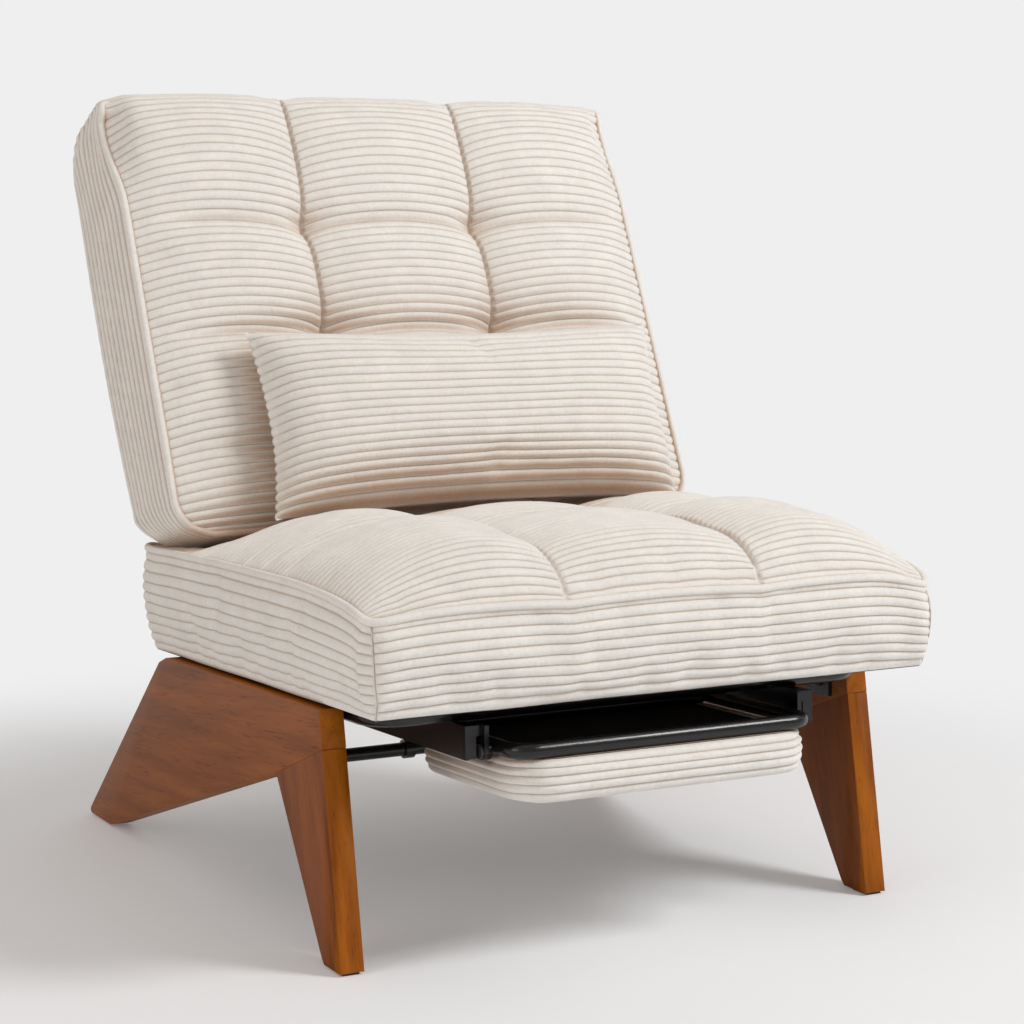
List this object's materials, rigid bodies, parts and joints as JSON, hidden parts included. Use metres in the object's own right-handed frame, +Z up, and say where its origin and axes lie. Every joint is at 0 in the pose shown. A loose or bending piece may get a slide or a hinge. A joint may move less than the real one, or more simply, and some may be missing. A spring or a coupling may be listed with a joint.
{
  "type": "recliner",
  "caption": "Low recliner with A-shaped wooden side frames, tufted corduroy seat and back, a lumbar pillow, a ratchet hinge and a padded footrest that slides out and flips up.",
  "frame": {"origin": "on the floor, under the middle of the chair's outline with the backrest at its most upright and the footrest stowed", "axes": "+X to the right of the chair seen from its front, +Y to its rear, +Z up"},
  "size_m": [0.6734, 0.8637, 0.895],
  "materials": {
    "walnut": "satin walnut stain, closed grain",
    "slat_wood": "bare sanded plywood",
    "black_steel": "satin black powder coat",
    "dark_fasteners": "black coated steel, slightly brighter than the tubes",
    "glide_plastic": "matt black moulded plastic",
    "corduroy": "cream wide-wale corduroy, wales about 10.7 mm apart, soft sheen across the pile"
  },
  "bodies": {
    "chair": {"bracket_bolts": "dark_fasteners", "hinge_pins": "dark_fasteners", "left_front_bracket": "black_steel", "left_front_glide": "glide_plastic", "left_front_leg": "walnut", "left_hinge_plate": "black_steel", "left_rear_bracket": "black_steel", "left_rear_glide": "glide_plastic", "left_side_board": "walnut", "left_slide_channel": "black_steel", "right_front_bracket": "black_steel", "right_front_glide": "glide_plastic", "right_front_leg": "walnut", "right_hinge_plate": "black_steel", "right_rear_bracket": "black_steel", "right_rear_glide": "glide_plastic", "right_side_board": "walnut", "right_slide_channel": "black_steel", "seat_cushion": "corduroy", "seat_frame_tube": "black_steel", "seat_rear_tube": "black_steel", "seat_slat_1": "slat_wood", "seat_slat_2": "slat_wood", "seat_slat_3": "slat_wood", "seat_slat_4": "slat_wood", "seat_slat_5": "slat_wood", "seat_tube_plugs": "glide_plastic", "slat_tabs": "black_steel", "slide_beam": "black_steel", "stretcher_bar": "black_steel"},
    "backrest": {"left_hinge_arm": "black_steel", "right_hinge_arm": "black_steel", "back_frame_tube": "black_steel", "back_lower_rail": "black_steel", "back_slat_1": "black_steel", "back_slat_2": "black_steel", "back_slat_3": "black_steel", "left_pawl": "black_steel", "right_pawl": "black_steel", "pawl_pins": "dark_fasteners", "pawl_springs": "dark_fasteners", "back_cushion": "corduroy", "back_panel": "corduroy", "lumbar_pillow": "corduroy"},
    "carriage": {"left_slide_bar": "black_steel", "right_slide_bar": "black_steel", "slide_cross_tube": "black_steel", "footrest_pins": "dark_fasteners"},
    "footrest": {"footrest_loop": "black_steel", "footrest_rear_rail": "black_steel", "left_footrest_ear": "black_steel", "right_footrest_ear": "black_steel", "footrest_board": "slat_wood", "footrest_pad": "corduroy"}
  },
  "joints": [
    {"name": "backrest_recline", "type": "hinge", "parent": "chair", "child": "backrest", "pos_m": [0, 0.22285, 0.266], "axis": [-1, 0, 0], "range_deg": [0, 60]},
    {"name": "footrest_slide", "type": "slide", "parent": "chair", "child": "carriage", "axis": [0, -0.9993, 0.0365], "range_m": [0, 0.3]},
    {"name": "footrest_flip", "type": "hinge", "parent": "carriage", "child": "footrest", "pos_m": [0, -0.37472, 0.21823], "axis": [-1, 0, 0], "range_deg": [0, 180]}
  ],
  "couplings": [
    {"joint": "footrest_flip", "follows": "footrest_slide", "rad_per_m": 10.472}
  ]
}
